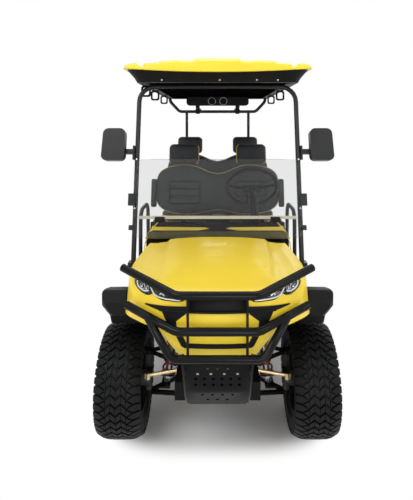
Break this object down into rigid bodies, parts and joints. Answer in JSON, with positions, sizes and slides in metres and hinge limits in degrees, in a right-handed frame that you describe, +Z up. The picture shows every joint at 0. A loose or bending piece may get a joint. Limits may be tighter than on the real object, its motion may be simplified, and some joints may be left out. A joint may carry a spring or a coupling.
{
  "type": "electric utility vehicle",
  "caption": "Lifted open electric cart with two forward-facing bench rows, full roof, fold-down windscreen, tubular nudge bar, off-road tyres and working steering.",
  "frame": {"origin": "middle of the bounding box on the ground", "axes": "+Z up, +Y towards the tail, +X to the vehicle's left, the driver's side"},
  "size_m": [1.5312, 2.9796, 2.125],
  "materials": {
    "yellow_paint": "glossy moulded body colour",
    "black_plastic": "fine grained",
    "lamp_housing": "satin reflector",
    "clear_lens": "clear",
    "red_lens": "clear red",
    "screen": "tinted clear",
    "mirror_face": "polished",
    "frame_black": "satin powder coat",
    "post_grey": "satin powder coat",
    "spring_red": "gloss",
    "bright_steel": "brushed",
    "zinc": "yellow zinc",
    "cast": "as cast",
    "floor_rubber": "ribbed",
    "battery_case": "plain",
    "seat_cover": "stitched",
    "wheel_grip": "soft grip",
    "tyre_rubber": "matte",
    "rim_black": "gloss black"
  },
  "bodies": {
    "chassis": {"front_cowl": "yellow_paint", "roof_shell": "yellow_paint", "seat_box": "yellow_paint", "rear_body": "yellow_paint", "grille_trim": "black_plastic", "fender_flares": "black_plastic", "cowl_panel": "black_plastic", "dashboard": "black_plastic", "mirrors": "black_plastic", "roof_liner": "black_plastic", "sound_bar": "black_plastic", "side_steps": "black_plastic", "steering_column": "black_plastic", "armrests": "black_plastic", "headlamp_housings": "lamp_housing", "headlamp_lenses": "clear_lens", "tail_lamps": "red_lens", "windscreen_lower": "screen", "windscreen_upper": "screen", "mirror_glass": "mirror_face", "chassis_frame": "frame_black", "skid_plate": "frame_black", "nudge_bar": "frame_black", "control_arms": "frame_black", "rear_bumper": "frame_black", "leaf_springs": "frame_black", "rear_axle": "frame_black", "front_posts": "post_grey", "rear_roof_frame": "post_grey", "seat_frames": "post_grey", "grab_handles": "post_grey", "coil_springs": "spring_red", "dampers": "bright_steel", "steering_rack": "bright_steel", "drive_motor": "bright_steel", "floor_pan": "floor_rubber", "pedals": "floor_rubber", "battery_pack": "battery_case", "seat_cushions": "seat_cover", "seat_backs": "seat_cover", "headrests": "seat_cover"},
    "knuckle_left": {"knuckle_left": "cast"},
    "knuckle_right": {"knuckle_right": "cast"},
    "rack_bar": {"tie_rods": "zinc"},
    "hand_wheel": {"steering_wheel": "wheel_grip"},
    "wheel_front_left": {"tyre_front_left": "tyre_rubber", "rim_front_left": "rim_black"},
    "wheel_front_right": {"tyre_front_right": "tyre_rubber", "rim_front_right": "rim_black"},
    "wheel_rear_left": {"tyre_rear_left": "tyre_rubber", "rim_rear_left": "rim_black"},
    "wheel_rear_right": {"tyre_rear_right": "tyre_rubber", "rim_rear_right": "rim_black"}
  },
  "joints": [
    {"name": "steer_left", "type": "hinge", "parent": "chassis", "child": "knuckle_left", "pos_m": [0.385, -0.93, 0.292], "axis": [0, 0, 1], "range_deg": [-30, 30]},
    {"name": "steer_right", "type": "hinge", "parent": "chassis", "child": "knuckle_right", "pos_m": [-0.385, -0.93, 0.292], "axis": [0, 0, 1], "range_deg": [-30, 30]},
    {"name": "rack_slide", "type": "slide", "parent": "chassis", "child": "rack_bar", "axis": [1, 0, 0], "range_m": [-0.066, 0.066]},
    {"name": "hand_wheel_turn", "type": "hinge", "parent": "chassis", "child": "hand_wheel", "pos_m": [0.246, -0.23, 1.261], "axis": [0, 0.788, 0.6157], "range_deg": [-370, 370]},
    {"name": "spin_front_left", "type": "hinge", "parent": "knuckle_left", "child": "wheel_front_left", "pos_m": [0.51, -0.93, 0.292], "axis": [1, 0, 0], "continuous": true},
    {"name": "spin_front_right", "type": "hinge", "parent": "knuckle_right", "child": "wheel_front_right", "pos_m": [-0.51, -0.93, 0.292], "axis": [1, 0, 0], "continuous": true},
    {"name": "spin_rear_left", "type": "hinge", "parent": "chassis", "child": "wheel_rear_left", "pos_m": [0.51, 0.97, 0.292], "axis": [1, 0, 0], "continuous": true},
    {"name": "spin_rear_right", "type": "hinge", "parent": "chassis", "child": "wheel_rear_right", "pos_m": [-0.51, 0.97, 0.292], "axis": [1, 0, 0], "continuous": true}
  ],
  "couplings": [
    {"joint": "steer_right", "follows": "steer_left", "ratio": 1},
    {"joint": "rack_slide", "follows": "steer_left", "m_per_rad": 0.12},
    {"joint": "hand_wheel_turn", "follows": "steer_left", "ratio": 12}
  ]
}
